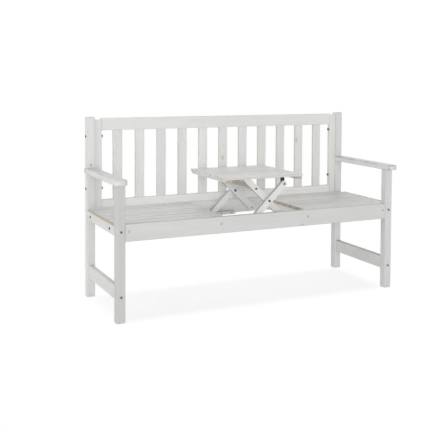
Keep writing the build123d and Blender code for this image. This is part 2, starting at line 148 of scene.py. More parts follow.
# A bolt's proportions, against the radius or the height of its head, socket rim or shank
RIM_RADIUS = 0.66
BRIM_HEIGHT = 0.22
SOCKET_WIDTH = 1.55
SOCKET_FLOOR = 0.3
TIP_RADIUS = 0.75
TIP_HEIGHT = 0.3

# A nut's proportions, against its width across flats, and its levels, against its height
BORE_RADIUS = 0.32
CONE_RADIUS = 0.49
CONE_GAIN = 0.35
NUT_LEVELS = (0.0, 0.12, 0.25, 0.75, 0.88, 1.0)

# A screw's rows and proportions, against the radius of its head
SCREW_ROWS = (1.0, 0.97, 0.85, 0.66, 0.62, 0.45, 0.3, 0.16, 0.08)
BAR_WIDTH = 0.13
BAR_REACH = 0.65
STEM_RADIUS = 0.45
STEM_LENGTH = 2.0
# How many screws hold each ledger
LEDGER_SCREWS = 4

FRONTWARDS = (0.0, -1.0, 0.0)
REARWARDS = (0.0, 1.0, 0.0)
DOWNWARDS = (0.0, 0.0, -1.0)

WHITE = (1.0, 1.0, 1.0, 1.0)
# A lamp's height against its width
LAMP_HEIGHT = 2 / 3


def number(name, description, default, **kind):
    """A setting of one number, with its subtype, unit and limits where they fit."""
    return FloatProperty(name=name, description=description, default=default, **kind)


def length(name, description, default):
    """A length setting, in metres."""
    return number(name, description, default, subtype="DISTANCE", unit="LENGTH", min=0.0)


def angle(name, description, default):
    """An angle setting, in radians."""
    return number(name, description, default, subtype="ANGLE", unit="ROTATION")


def share(name, description, default):
    """A share, from 0 to 1."""
    return number(name, description, default, subtype="FACTOR", min=0.0, max=1.0)


def level(name, description, default):
    """A number from 0 up, with no unit."""
    return number(name, description, default, min=0.0)


def place(name, description, default):
    """A place setting, in metres."""
    return FloatVectorProperty(
        name=name, description=description, subtype="XYZ", unit="LENGTH", size=3, default=default
    )


def color(name, description, default):
    """A colour setting, in linear values."""
    return FloatVectorProperty(
        name=name, description=description, subtype="COLOR", size=3, min=0.0, max=1.0, default=default
    )


class BenchGlaze(bpy.types.PropertyGroup):
    """The white glaze and the softwood that shows through it."""

    glaze: color("Glaze", "Thin white glaze over early wood", (0.742, 0.744, 0.734))
    late_wood: color("Late wood", "Growth lines as they show through the glaze", (0.62, 0.605, 0.57))
    knot: color("Knot", "Knots as they show through the glaze", (0.46, 0.43, 0.385))
    # Where it darkens the seat slats' sides at the gaps, this colour is also painted shade.
    edge: color("Edge", "Eased edges and narrow faces, where the glaze is thin", (0.54, 0.48, 0.40))
    # Painted shade and edge wear: grey on armrest and stretcher tops and scissor arm edge faces.
    shade_and_wear: color("Shade and wear", "Edges and faces where dirt has settled", (0.30, 0.295, 0.285))
    joint: color("Joint", "Thin line of bare wood and shade where two boards meet", (0.27, 0.25, 0.22))
    sawn: color("Sawn end", "Bare early wood on a sawn end", (0.57, 0.49, 0.385))
    sawn_ring: color("Sawn ring", "Bare late wood on a sawn end", (0.33, 0.26, 0.185))
    ring_spacing: length("Ring spacing", "Distance between two growth lines", 0.006)
    joint_width: length("Joint width", "Width of the line at the end of a board", 0.0022)
    grain: share("Grain", "How far the growth lines show through", 0.5)
    board_spread: share("Board spread", "How much slats differ in tone", 0.06)
    bump_depth: length("Bump depth", "Depth of the raised grain", 0.0003)


class BenchHardware(bpy.types.PropertyGroup):
    """Bolts, nuts, screws and brackets."""

    steel: color("Steel", "Dull grey steel of bolts and wood screws", (0.25, 0.255, 0.26))
    zinc: color("Zinc", "Bright zinc of apron and base pivot bolts, washers and bushes", (0.48, 0.49, 0.49))
    nut: color("Nut", "Grey zinc of the nuts", (0.19, 0.195, 0.2))
    blued: color("Blued steel", "Bolts at the sides and at the scissors' crossings", (0.055, 0.085, 0.095))
    socket: color("Socket", "Shade in a bolt's socket", (0.025, 0.027, 0.03))
    bracket: color("Bracket", "Black painted steel", (0.004, 0.004, 0.0045))
    screw_radius: length("Screw radius", "Radius of a wood screw's head", 0.0048)
    screw_crown: length("Screw crown", "How far a screw head stands proud", 0.0009)
    screw_recess: length("Screw recess", "Depth of the cross in a screw head", 0.0014)
    post_screw_rise: length("Post screw rise", "Height of the post screw above the armrest", 0.014)
    ledger_screw_inset: length("Ledger screw inset", "First ledger screw from the ledger's right end", 0.021)
    ledger_screw_pitch: length("Ledger screw pitch", "Distance between two ledger screws", 0.059)


class BenchStudio(bpy.types.PropertyGroup):
    """Floor, light and camera."""

    floor: color("Floor", "Plain pale floor", (0.9, 0.9, 0.9))
    floor_size: length("Floor size", "Side of the square floor", 60.0)
    floor_lift: share("Floor lift", "Share of plain white in the floor below the bench, as it is seen", 0.79)
    fade_width: length("Fade width", "How far inside the bench's outline the floor turns plain white", 0.10)
    ambient: level("Ambient", "Even light from all round", 0.54)
    front_light: level("Front light", "Level of the soft light from the camera's side", 0.33)
    left_light: level("Left light", "Level of the soft light from the left", 0.24)
    rear_light: level("Rear light", "Level of the soft light from behind and above", 0.43)
    front_place: place("Front place", "Middle of the front light", (-2.8, -13.5, 1.9))
    left_place: place("Left place", "Middle of the left light", (-8.6, -1.6, 2.6))
    rear_place: place("Rear place", "Middle of the rear light", (2.4, 7.0, 5.4))
    front_spread: level("Front spread", "Width of the front light for each metre of its distance", 0.45)
    left_spread: level("Left spread", "Width of the left light for each metre of its distance", 0.45)
    rear_spread: level("Rear spread", "Width of the rear light for each metre of its distance", 1.1)
    camera_place: place("Camera place", "Where the camera stands", (-1.8317, -3.7622, 1.1309))
    heading: angle("Heading", "Turn of the view from +Y towards +X", 0.4726)
    tilt: angle("Tilt", "View above the horizon", -0.0468)
    roll: angle("Roll", "Turn about the view", 0.0075)
    lens: number("Lens", "Focal length in millimetres", 68.92, subtype="DISTANCE_CAMERA", unit="CAMERA")
    shift_x: number("Shift across", "Share of the image's side", -0.1047)
    shift_y: number("Shift up", "Share of the image's side", -0.2439)


def add_node(tree, kind, inputs=None, **settings):
    """Adds a node with its settings. An input that is given a socket is linked, any other value is set."""
    node = tree.nodes.new(kind)
    for name, value in settings.items():
        setattr(node, name, value)
    for name, value in (inputs or {}).items():
        if isinstance(value, bpy.types.NodeSocket):
            tree.links.new(value, node.inputs[name])
        else:
            node.inputs[name].default_value = value
    return node


def arithmetic(tree, operation, first, second=0.0):
    """One step of arithmetic on one or two numbers."""
    return add_node(tree, "ShaderNodeMath", {0: first, 1: second}, operation=operation).outputs[0]


def vector_arithmetic(tree, operation, first, second=(0.0, 0.0, 0.0)):
    """One step of arithmetic on one or two vectors, part by part."""
    return add_node(tree, "ShaderNodeVectorMath", {0: first, 1: second}, operation=operation).outputs[0]


def part_of(tree, vector, axis):
    """The part of a vector along an axis."""
    return add_node(tree, "ShaderNodeSeparateXYZ", {0: vector}).outputs[AXES.index(axis)]


def noise(tree, vector, cells, detail):
    """Smooth noise from 0 to 1, with so many cells in a metre along each axis."""
    inputs = {
        "Vector": vector_arithmetic(tree, "MULTIPLY", vector, cells), "Scale": 1.0,
        "Detail": detail, "Roughness": NOISE_ROUGHNESS,
    }
    return add_node(tree, "ShaderNodeTexNoise", inputs).outputs[0]


def growth_rings(tree, vector, scale, distortion):
    """Rings about the first axis. Each rises slowly from 0 to 1 and falls back at once."""
    inputs = {"Vector": vector, "Scale": scale, "Distortion": distortion, "Detail": 2.0}
    settings = {"wave_type": "RINGS", "rings_direction": "X", "wave_profile": "SAW"}
    return add_node(tree, "ShaderNodeTexWave", inputs, **settings).outputs["Fac"]


def ramp(tree, value, low, high, to_low=0.0, to_high=1.0):
    """A smooth step that takes a value from low and high to to_low and to_high."""
    inputs = {"Value": value, "From Min": low, "From Max": high, "To Min": to_low, "To Max": to_high}
    return add_node(tree, "ShaderNodeMapRange", inputs, interpolation_type="SMOOTHSTEP").outputs[0]


def mixed(tree, factor, first, second):
    """A blend of two colours."""
    return add_node(tree, "ShaderNodeMix", {0: factor, 6: first, 7: second}, data_type="RGBA").outputs[2]


def rgba(values):
    """A colour setting with its alpha."""
    return (*values, 1.0)


VECTOR, COLOR, FLOAT = "NodeSocketVector", "NodeSocketColor", "NodeSocketFloat"
SURFACE_OUTPUTS = {"Color": COLOR, "Roughness": FLOAT, "Height": FLOAT}


def shared_group(name, inputs, outputs):
    """Turns a function that wires up a node group into one that gives the group, wired at its first call.

    The function gets the group's tree and the sockets that bring its inputs. It gives a socket for each
    output.
    """
    def decorate(wire):
        @functools.wraps(wire)
        def group():
            if name not in bpy.data.node_groups:
                tree = bpy.data.node_groups.new(name, "ShaderNodeTree")
                for label, kind in inputs.items():
                    tree.interface.new_socket(label, in_out="INPUT", socket_type=kind)
                for label, kind in outputs.items():
                    tree.interface.new_socket(label, in_out="OUTPUT", socket_type=kind)
                results = wire(tree, add_node(tree, "NodeGroupInput").outputs)
                add_node(tree, "NodeGroupOutput", results)
            return bpy.data.node_groups[name]

        return group

    return decorate


@shared_group(
    "Glazed grain",
    {
        "Vector": VECTOR, "Glaze": COLOR, "Late Wood": COLOR, "Knot": COLOR, "Ring Scale": FLOAT,
        "Grain": FLOAT, "Tone": FLOAT, "Knots": FLOAT,
    },
    SURFACE_OUTPUTS,
)
def glazed_grain(tree, given):
    """Glazed softwood, the grain along the first coordinate.

    Growth lines are rings about that axis, bent by slow noise. Fibres are noise drawn out along the grain.
    A knot is the space near a point of a cell pattern, drawn out a little, and Knots is the share of the
    cells that have one. A slow cloud makes the glaze thicker and thinner.
    """
    vector = given["Vector"]
    fibre = noise(tree, vector, FIBRE_CELLS, detail=3.0)
    cloud = noise(tree, vector, CLOUD_CELLS, detail=3.0)

    bend = arithmetic(tree, "SUBTRACT", noise(tree, vector, BEND_CELLS, detail=2.0), MIDDLE_OF_NOISE)
    bend = arithmetic(tree, "MULTIPLY", bend, RING_BEND)
    offset = add_node(tree, "ShaderNodeCombineXYZ", {"Y": bend, "Z": bend}).outputs[0]
    bent = vector_arithmetic(tree, "ADD", vector, offset)
    rings = growth_rings(tree, bent, given["Ring Scale"], distortion=0.6)
    line = ramp(tree, rings, low=0.45, high=1.0)
    faint_line = arithmetic(tree, "MULTIPLY", line, LINE_STRENGTH)
    streak = arithmetic(tree, "ADD", faint_line, ramp(tree, fibre, low=0.5, high=0.8))
    shown = arithmetic(tree, "MULTIPLY", streak, given["Grain"])

    spread = vector_arithmetic(tree, "MULTIPLY", vector, KNOT_CELLS)
    cells = add_node(tree, "ShaderNodeTexVoronoi", {"Vector": spread, "Scale": 1.0}).outputs
    lot = add_node(tree, "ShaderNodeSeparateColor", {0: cells["Color"]}).outputs[0]
    chosen = arithmetic(tree, "LESS_THAN", lot, given["Knots"])
    knot = arithmetic(tree, "MULTIPLY", ramp(tree, cells["Distance"], low=0.13, high=0.05), chosen)
    faint_knot = arithmetic(tree, "MULTIPLY", knot, KNOT_STRENGTH)

    wood = mixed(tree, shown, given["Glaze"], given["Late Wood"])
    wood = mixed(tree, faint_knot, wood, given["Knot"])
    thickness = ramp(tree, cloud, low=0.25, high=0.75, to_low=0.965, to_high=1.03)
    tone = arithmetic(tree, "MULTIPLY", thickness, given["Tone"])
    toned = add_node(tree, "ShaderNodeVectorMath", {0: wood, "Scale": tone}, operation="SCALE").outputs[0]
    smooth = arithmetic(tree, "SUBTRACT", cloud, shown)
    raised = arithmetic(tree, "MULTIPLY", fibre, FIBRE_HEIGHT)
    sunk = arithmetic(tree, "MULTIPLY", line, LINE_DEPTH)
    return {
        "Color": toned,
        "Roughness": ramp(tree, smooth, low=0.0, high=0.7, to_low=0.62, to_high=0.46),
        "Height": arithmetic(tree, "SUBTRACT", raised, sunk),
    }


@shared_group(
    "Sawn end",
    {"Vector": VECTOR, "Wood": COLOR, "Ring": COLOR, "Ring Scale": FLOAT, "Bare": FLOAT},
    {**SURFACE_OUTPUTS, "Mask": FLOAT},
)
def sawn_end(tree, given):
    """A bare sawn end, seen along the first coordinate: close uneven rings, stains and open pores.

    Mask is 1 where the wood is bare. Bare is how much of the end no glaze ran over.
    """
    vector = given["Vector"]
    rings = growth_rings(tree, vector, given["Ring Scale"], distortion=2.5)
    pores = noise(tree, vector, PORE_CELLS, detail=2.0)
    stains = noise(tree, vector, STAIN_CELLS, detail=2.0)
    strength = ramp(tree, stains, low=0.3, high=0.7, to_low=0.35, to_high=0.9)
    shade = arithmetic(tree, "MULTIPLY", ramp(tree, rings, low=0.3, high=1.0), strength)
    glaze_runs = noise(tree, vector, GLAZE_RUN_CELLS, detail=3.0)
    more = arithmetic(tree, "SUBTRACT", given["Bare"], MIDDLE_OF_NOISE)
    spared = arithmetic(tree, "ADD", glaze_runs, more)
    return {
        "Color": mixed(tree, shade, given["Wood"], given["Ring"]),
        "Roughness": ramp(tree, pores, low=0.3, high=0.7, to_low=0.7, to_high=0.85),
        "Height": pores,
        "Mask": ramp(tree, spared, low=0.4, high=0.62),
    }


@shared_group(
    "Slat tone", {"Place": FLOAT, "Start": FLOAT, "Pitch": FLOAT, "Spread": FLOAT}, {"Tone": FLOAT}
)
def slat_tone(tree, given):
    """A tone for each slat of a row: white noise of its number, the whole part of its place in pitches."""
    from_start = arithmetic(tree, "SUBTRACT", given["Place"], given["Start"])
    slat = arithmetic(tree, "FLOOR", arithmetic(tree, "DIVIDE", from_start, given["Pitch"]))
    white = add_node(tree, "ShaderNodeTexWhiteNoise", {"W": slat}, noise_dimensions="1D").outputs["Value"]
    darker = arithmetic(tree, "MULTIPLY", white, given["Spread"])
    return {"Tone": arithmetic(tree, "SUBTRACT", 1.0, darker)}


@shared_group(
    "Worn edge",
    {"Normal": VECTOR, "Vector": VECTOR, "Narrow": VECTOR},
    {"Edge": FLOAT, "End": FLOAT, "Side": FLOAT},
)
def worn_edge(tree, given):
    """Masks from the way that a face looks, given along the board's own directions.

    Edge is 1 on eased edges, where no part of the normal is near 1, in worn patches. End is 1 on the ends
    of a board. Side is 1 on the faces that look along Narrow.
    """
    size = vector_arithmetic(tree, "ABSOLUTE", given["Normal"])
    parts = add_node(tree, "ShaderNodeSeparateXYZ", {0: size}).outputs
    widest = arithmetic(tree, "MAXIMUM", parts[0], arithmetic(tree, "MAXIMUM", parts[1], parts[2]))
    patches = noise(tree, given["Vector"], WEAR_CELLS, detail=3.0)
    wear = ramp(tree, patches, low=0.3, high=0.65, to_low=0.25, to_high=1.0)
    inputs = {0: size, 1: given["Narrow"]}
    across = add_node(tree, "ShaderNodeVectorMath", inputs, operation="DOT_PRODUCT").outputs["Value"]
    return {
        "Edge": arithmetic(tree, "MULTIPLY", ramp(tree, widest, low=0.96, high=0.84), wear),
        "End": ramp(tree, parts[0], TURNING, FACING),
        "Side": ramp(tree, across, TURNING, FACING),
    }


@shared_group(
    "Joint line",
    {"Place": FLOAT, "Low": FLOAT, "High": FLOAT, "Width": FLOAT, "Facing": FLOAT},
    {"Mask": FLOAT},
)
def joint_line(tree, given):
    """1 in a thin line at both ends of a board, fading with the distance to the nearer end.

    Facing is the part of the normal along the board: the end faces themselves stay 0.
    """
    from_low = arithmetic(tree, "SUBTRACT", given["Place"], given["Low"])
    from_high = arithmetic(tree, "SUBTRACT", given["High"], given["Place"])
    nearer = arithmetic(tree, "MINIMUM", from_low, from_high)
    widths = arithmetic(tree, "DIVIDE", nearer, given["Width"])
    beside = ramp(tree, arithmetic(tree, "ABSOLUTE", given["Facing"]), FACING, TURNING)
    return {"Mask": arithmetic(tree, "MULTIPLY", ramp(tree, widths, low=1.0, high=0.35), beside)}


@shared_group(
    "Metal patina", {"Vector": VECTOR, "Metal": COLOR, "Pale": COLOR, "Gloss": FLOAT}, SURFACE_OUTPUTS
)
def metal_patina(tree, given):
    """Uneven metal or paint: fine noise makes spots of the pale colour and an uneven gloss."""
    spots = noise(tree, given["Vector"], METAL_CELLS, detail=3.0)
    uneven = ramp(tree, spots, low=0.3, high=0.7, to_low=-0.08, to_high=0.1)
    return {
        "Color": mixed(tree, ramp(tree, spots, low=0.35, high=0.75), given["Metal"], given["Pale"]),
        "Roughness": arithmetic(tree, "ADD", uneven, given["Gloss"]),
        "Height": spots,
    }


def group_node(tree, group, **values):
    """Places a node group and gives its outputs. A value's name has _ for the space in the socket's name."""
    inputs = {label.replace("_", " "): value for label, value in values.items()}
    return add_node(tree, "ShaderNodeGroup", inputs, node_tree=group).outputs


def new_material(name):
    """A new material with nodes, and its tree."""
    material = bpy.data.materials.new(name)
    material.use_nodes = True
    return material, material.node_tree


def coat(tree, surface, bump_depth, bump_strength):
    """Brings a surface's colour, roughness and height, as bump, to its material's shader, and gives that."""
    inputs = {"Height": surface["Height"], "Distance": bump_depth, "Strength": bump_strength}
    bump = add_node(tree, "ShaderNodeBump", inputs).outputs[0]
    principled = tree.nodes["Principled BSDF"]
    tree.links.new(surface["Color"], principled.inputs["Base Color"])
    tree.links.new(surface["Roughness"], principled.inputs["Roughness"])
    tree.links.new(bump, principled.inputs["Normal"])
    return principled


def row_tone(tree, coordinates, row, spread):
    """A tone for each slat of a row, which is given as its axis and its nodes."""
    axis, nodes = row
    part = AXES.index(axis)
    middles = [sum(corner[part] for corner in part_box(node)) / 2 for node in nodes[:2]]
    pitch = middles[1] - middles[0]
    outputs = group_node(
        tree, slat_tone(), Place=part_of(tree, coordinates, axis), Start=middles[0] - pitch / 2,
        Pitch=pitch, Spread=spread,
    )
    return outputs["Tone"]


def with_joint_lines(tree, shown, places, joint, line):
    """A board's colour with a dark line along the ends or edges where it meets other boards."""
    glaze = bpy.context.scene.bench_glaze
    axes, node = joint
    width, strength = line
    for axis in axes:
        low, high = (corner[AXES.index(axis)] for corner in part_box(node))
        outputs = group_node(
            tree, joint_line(), Place=part_of(tree, places["Object"], axis), Low=low, High=high,
            Width=glaze.joint_width * width, Facing=part_of(tree, places["Normal"], axis),
        )
        faint = arithmetic(tree, "MULTIPLY", outputs["Mask"], strength)
        shown = mixed(tree, faint, shown, rgba(glaze.joint))
    return shown


def with_sawn_ends(tree, surface, along, end_mask, ring_scale, bare):
    """A board's surface with bare wood on its sawn ends."""
    glaze = bpy.context.scene.bench_glaze
    end = group_node(
        tree, sawn_end(), Vector=along, Wood=rgba(glaze.sawn), Ring=rgba(glaze.sawn_ring),
        Ring_Scale=SAWN_RINGS * ring_scale, Bare=bare,
    )
    cut = arithmetic(tree, "MULTIPLY", end_mask, end["Mask"])
    result = {"Color": mixed(tree, cut, surface["Color"], end["Color"])}
    for label in ("Roughness", "Height"):
        values = {0: cut, 2: surface[label], 3: end[label]}
        result[label] = add_node(tree, "ShaderNodeMix", values, data_type="FLOAT").outputs[0]
    return result


def board_material(
    name, turn, shift=(0.0, 0.0, 0.0), tone=1.0, row=None, joint=None, line=(1.0, 0.4), bare=0.0,
    narrow=(0, 0, 0), thin=0.45, edges=0.5, shade_greyed=False, knots=0.4,
):
    """Glazed softwood with its grain turned along the board.

    shift moves the grain, so that like boards differ, and tone makes the glaze lighter or darker. row is
    the axis and the nodes of a row of slats, which then differ in tone. joint is one or two axes and a node
    whose ends or edges along them meet other boards, and line is the width of that joint against the usual
    one and its strength. bare is how much of a sawn end the glaze leaves bare. narrow tells, along the
    board's own directions, which faces take the edge colour, thin is how much, and edges is the same for
    the eased edges. The edge colour is thin glaze, and on the seat slats' sides at the gaps also painted
    shade. With the flag after edges set, they take a grey instead: painted shade where the light reaches
    less, and wear on the eased edges. knots is how many knots the board has, from 0 to 1.
    """
    if name in bpy.data.materials:
        return bpy.data.materials[name]
    glaze = bpy.context.scene.bench_glaze
    material, tree = new_material(name)
    places = add_node(tree, "ShaderNodeTexCoord").outputs
    inputs = {"Vector": places["Object"], "Rotation": turn, "Location": shift}
    along = add_node(tree, "ShaderNodeMapping", inputs).outputs[0]
    inputs = {"Vector": places["Normal"], "Rotation": turn}
    normal = add_node(tree, "ShaderNodeMapping", inputs, vector_type="NORMAL").outputs[0]

    ring_scale = 2 * math.pi / (WAVE_FACTOR * glaze.ring_spacing)
    outputs = group_node(
        tree, glazed_grain(), Vector=along, Glaze=rgba(part * tone for part in glaze.glaze),
        Late_Wood=rgba(glaze.late_wood), Knot=rgba(glaze.knot), Ring_Scale=ring_scale, Grain=glaze.grain,
        Tone=row_tone(tree, places["Object"], row, glaze.board_spread) if row else 1.0, Knots=knots,
    )
    surface = {label: outputs[label] for label in SURFACE_OUTPUTS}

    worn = group_node(tree, worn_edge(), Normal=normal, Vector=along, Narrow=narrow)
    sides_thin_or_shaded = arithmetic(tree, "MULTIPLY", worn["Side"], thin)
    edges_worn_or_shaded = arithmetic(tree, "MULTIPLY", worn["Edge"], edges)
    bared_or_shaded = arithmetic(tree, "MAXIMUM", sides_thin_or_shaded, edges_worn_or_shaded)
    # Flagged boards take the grey of painted shade and wear here, the others the thin-glaze colour.
    below = glaze.shade_and_wear if shade_greyed else glaze.edge
    surface["Color"] = mixed(tree, bared_or_shaded, surface["Color"], rgba(below))
    if joint:
        surface["Color"] = with_joint_lines(tree, surface["Color"], places, joint, line)
    if bare:
        surface = with_sawn_ends(tree, surface, along, worn["End"], ring_scale, bare)
    principled = coat(tree, surface, glaze.bump_depth, WOOD_BUMP_STRENGTH)
    principled.inputs["Specular IOR Level"].default_value = WOOD_SPECULAR
    return material


def metal_material(name, tint, metallic, roughness, patina):
    """Metal or paint with an uneven surface. patina is how much paler its pale spots are."""
    if name in bpy.data.materials:
        return bpy.data.materials[name]
    material, tree = new_material(name)
    surface = group_node(
        tree, metal_patina(), Vector=add_node(tree, "ShaderNodeTexCoord").outputs["Object"],
        Metal=rgba(tint), Pale=rgba(min(1.0, part * (1.0 + patina)) for part in tint), Gloss=roughness,
    )
    principled = coat(tree, surface, METAL_BUMP_DEPTH, METAL_BUMP_STRENGTH)
    principled.inputs["Metallic"].default_value = metallic
    return material


def hardware_materials():
    """The materials of bolts, nuts, screws, washers and bushes, in the order of their numbers."""
    hardware = bpy.context.scene.bench_hardware
    return (
        metal_material("Dull steel", hardware.steel, metallic=0.7, roughness=0.48, patina=0.5),
        metal_material("Shaded socket", hardware.socket, metallic=0.0, roughness=0.7, patina=0.3),
        metal_material("Bright zinc", hardware.zinc, metallic=0.7, roughness=0.45, patina=0.2),
        metal_material("Grey zinc", hardware.nut, metallic=0.7, roughness=0.5, patina=0.3),
        metal_material("Blued steel", hardware.blued, metallic=0.7, roughness=0.45, patina=0.3),
    )


def finish(nodes, material):
    """Gives CAD nodes a material."""
    for node in nodes:
        mesh = frame["nodes"][node].data
        mesh.materials.clear()
        mesh.materials.append(material)


def both(*names):
    """Each name with its left and right ending."""
    return [f"{name}_{side}" for name in names for side in SIDES]


class Shape(NamedTuple):
    """A closed surface: its points, its faces of four and of three corners, and their material numbers."""

    points: np.ndarray
    quads: np.ndarray
    fans: np.ndarray
    numbers: np.ndarray


class PlainBolt(NamedTuple):
    """A CAD bolt's sizes and place. Its seat is the point below its head, and outward is the way it looks."""

    seat: np.ndarray
    outward: np.ndarray
    head_radius: float
    head_height: float
    shank_radius: float
    shank_length: float


def angles_round(sides):
    """Evenly spaced angles of a whole turn."""
    return np.arange(sides) * (2 * math.pi / sides)


def hexagon(sides, across_flats):
    """Distance from the middle of a hexagon to its edge, at evenly spaced angles.

    It is half the width across flats over the cosine of the angle from the middle of the nearest flat.
    """
    from_flat = (angles_round(sides) + math.pi / 6) % (math.pi / 3) - math.pi / 6
    return across_flats / 2 / np.cos(from_flat)


def pointing(axis, way=1.0):
    """A direction along an axis, which is given by its number."""
    direction = np.zeros(3)
    direction[axis] = way
    return direction


def set_up(points, seat, outward):
    """Turns points from +Z to an outward direction and moves their origin to the seat."""
    outward = np.asarray(outward, float)
    across = np.cross((0.0, 0.0, 1.0), outward)
    if not across.any():
        across = pointing(0)
    basis = np.stack((across, np.cross(outward, across), outward))
    return points @ basis + np.asarray(seat)


def turned_shape(heights, radii, seat, outward, material_number):
    """A closed surface about the line that runs outward from a seat, all of one material.

    Before it is set up on that line, row i and angle a of the two grids give (r cos a, r sin a, h), and a
    pole closes each end. All faces look outwards: those of the wall row after row, then the fans of the
    lower and of the upper pole.
    """
    rows, sides = np.broadcast_shapes(heights.shape, radii.shape)
    angles = angles_round(sides)
    high = np.broadcast_to(heights, (rows, sides))
    wide = np.broadcast_to(radii, (rows, sides))
    wall = np.stack((wide * np.cos(angles), wide * np.sin(angles), high), axis=-1).reshape(-1, 3)
    poles = [(0.0, 0.0, high[0].mean()), (0.0, 0.0, high[-1].mean())]
    near = np.arange(sides)
    far = (near + 1) % sides
    row_starts = np.arange(rows - 1)[:, None] * sides
    corners = [row_starts + near, row_starts + far, row_starts + sides + far, row_starts + sides + near]
    quads = np.stack(corners, axis=-1).reshape(-1, 4)
    last = (rows - 1) * sides
    bottom = np.stack((np.full(sides, rows * sides), far, near), axis=-1)
    top = np.stack((np.full(sides, rows * sides + 1), last + near, last + far), axis=-1)
    fans = np.vstack((bottom, top))
    points = set_up(np.vstack((wall, poles)), seat, outward)
    return Shape(points, quads, fans, np.full(len(quads) + len(fans), material_number))


def new_piece(name, shapes, body):
    """One mesh object of hardware, made of several shapes, that rides on a body."""
    starts = np.cumsum([0] + [len(shape.points) for shape in shapes])
    faces = []
    for start, shape in zip(starts, shapes):
        faces += (shape.quads + start).tolist() + (shape.fans + start).tolist()
    mesh = bpy.data.meshes.new(name)
    mesh.from_pydata(np.vstack([shape.points for shape in shapes]).tolist(), [], faces)
    for material in hardware_materials():
        mesh.materials.append(material)
    numbers = np.concatenate([shape.numbers for shape in shapes])
    mesh.polygons.foreach_set("material_index", numbers.astype(np.int32))
    mesh.polygons.foreach_set("use_smooth", np.ones(len(faces), dtype=bool))
    mesh.set_sharp_from_angle(angle=SMOOTH_ANGLE)
    piece = bpy.data.objects.new(name, mesh)
    bpy.context.scene.collection.objects.link(piece)
    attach(piece, body)
    return piece


def solids_of(node):
    """The corner points of each separate solid of a CAD node.

    Corners at one place share a label, and a triangle's corners take the lowest of their labels, until
    no label changes.
    """
    mesh = frame["nodes"][node].data
    points = np.empty(len(mesh.vertices) * 3)
    mesh.vertices.foreach_get("co", points)
    corners = np.empty(len(mesh.loops), dtype=np.int32)
    mesh.loops.foreach_get("vertex_index", corners)
    rounded = points.reshape(-1, 3).round(CORNER_DECIMALS)
    places, place_of = np.unique(rounded, axis=0, return_inverse=True)
    triangles = place_of.reshape(-1)[corners].reshape(-1, 3)
    labels = np.arange(len(places))
    while True:
        lowest = np.repeat(labels[triangles].min(axis=1), 3)
        spread = labels.copy()
        np.minimum.at(spread, triangles.ravel(), lowest)
        if np.array_equal(spread, labels):
            return [places[labels == label] for label in np.unique(labels)]
        labels = spread


def middle_of(solid):
    """The middle of the box round a solid's corner points."""
    return (solid.min(axis=0) + solid.max(axis=0)) / 2


def plain_bolt(solid):
    """Measures a CAD bolt by its corner points.

    The bolt lies along its longest side, and its head is its widest part.
    """
    axis = int(np.argmax(np.ptp(solid, axis=0)))
    middle = middle_of(solid)
    spokes = solid - middle
    spokes[:, axis] = 0.0
    radii = np.linalg.norm(spokes, axis=1)
    in_head = radii > HEAD_CORNERS * radii.max()
    way = 1.0 if solid[in_head, axis].mean() > middle[axis] else -1.0
    heights = solid[:, axis] * way
    seat_height = heights[in_head].min()
    middle[axis] = seat_height * way
    return PlainBolt(
        seat=middle,
        outward=pointing(axis, way),
        head_radius=radii.max(),
        head_height=heights.max() - seat_height,
        shank_radius=radii[heights < heights.min() + TIP_REACH].max(),
        shank_length=seat_height - heights.min(),
    )


def bolt_shape(bolt, head_number, socket_number):
    """A button-head bolt with a hexagon socket, in the place and size of a plain one.

    The profile runs up the shank, out under the head, up its brim, over the crown on a quarter ellipse to
    the rim of the socket, in to the hexagon and down its walls.
    """
    rim_radius = RIM_RADIUS * bolt.head_radius
    brim_height = BRIM_HEIGHT * bolt.head_height
    bend = np.linspace(0.0, math.pi / 2, CROWN_ROWS)
    tip_top = TIP_HEIGHT * bolt.shank_radius - bolt.shank_length
    heights = np.concatenate((
        (-bolt.shank_length, tip_top, 0.0, 0.0),
        brim_height + (bolt.head_height - brim_height) * np.sin(bend),
        (bolt.head_height, SOCKET_FLOOR * bolt.head_height),
    ))
    round_radii = np.concatenate((
        (TIP_RADIUS * bolt.shank_radius, bolt.shank_radius, bolt.shank_radius, bolt.head_radius),
        rim_radius + (bolt.head_radius - rim_radius) * np.cos(bend),
    ))
    socket = hexagon(BOLT_SIDES, SOCKET_WIDTH * rim_radius)
    radii = np.vstack((np.repeat(round_radii[:, None], BOLT_SIDES, axis=1), socket, socket))
    shape = turned_shape(heights[:, None], radii, bolt.seat, bolt.outward, head_number)
    wall_end = len(shape.quads)
    shape.numbers[wall_end - BOLT_SIDES:wall_end] = socket_number
    shape.numbers[-BOLT_SIDES:] = socket_number
    return shape


def nut_shape(solid):
    """A hexagon nut with its corners taken off by a cone at both faces, and the bolt's end in its hole.

    The wall is the smaller of the hexagon and a circle that widens away from each face.
    """
    axis = int(np.argmin(np.ptp(solid, axis=0)))
    across_flats = np.delete(np.ptp(solid, axis=0), axis).min()
    levels = np.array(NUT_LEVELS)
    cone = across_flats * (CONE_RADIUS + CONE_GAIN * np.minimum(levels, 1.0 - levels))
    wall = np.minimum(hexagon(NUT_SIDES, across_flats)[None, :], cone[:, None])
    bore = np.full((1, NUT_SIDES), BORE_RADIUS * across_flats)
    heights = (levels - 0.5) * np.ptp(solid[:, axis])
    rises = np.concatenate((heights[:1], heights, heights[-1:]))
    radii = np.vstack((bore, wall, bore))
    return turned_shape(rises[:, None], radii, middle_of(solid), pointing(axis), GREY)


